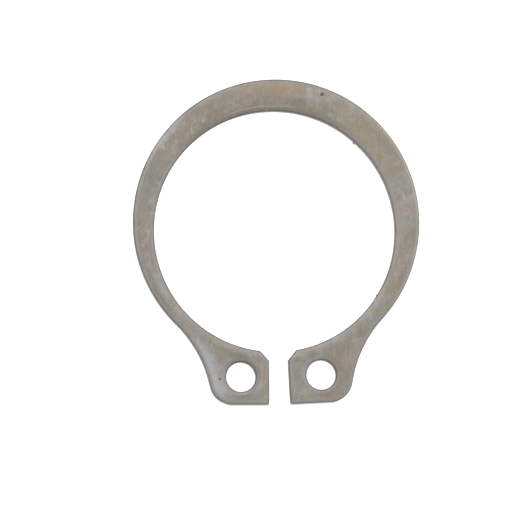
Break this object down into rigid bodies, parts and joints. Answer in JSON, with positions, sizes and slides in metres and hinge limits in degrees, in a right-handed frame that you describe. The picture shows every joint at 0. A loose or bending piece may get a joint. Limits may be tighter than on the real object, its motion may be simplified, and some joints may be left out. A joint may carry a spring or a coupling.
{
  "type": "retaining ring",
  "caption": "External retaining ring stamped from spring steel, tapering to a lug with a plier hole on each side of its gap; it springs into a shaft groove.",
  "frame": {"origin": "on the axis of the ring's bore, at the lower face", "axes": "+Z along the shaft, up through the thickness to the face with the rolled edges; +Y towards the thick back; the lugs and the gap point to -Y"},
  "size_m": [0.022, 0.025, 0.0012],
  "materials": {
    "spring_steel": "dull, lightly heat-tinted stamped steel, tumbled edges"
  },
  "bodies": {
    "root": {"retaining_ring": "spring_steel"}
  },
  "joints": []
}
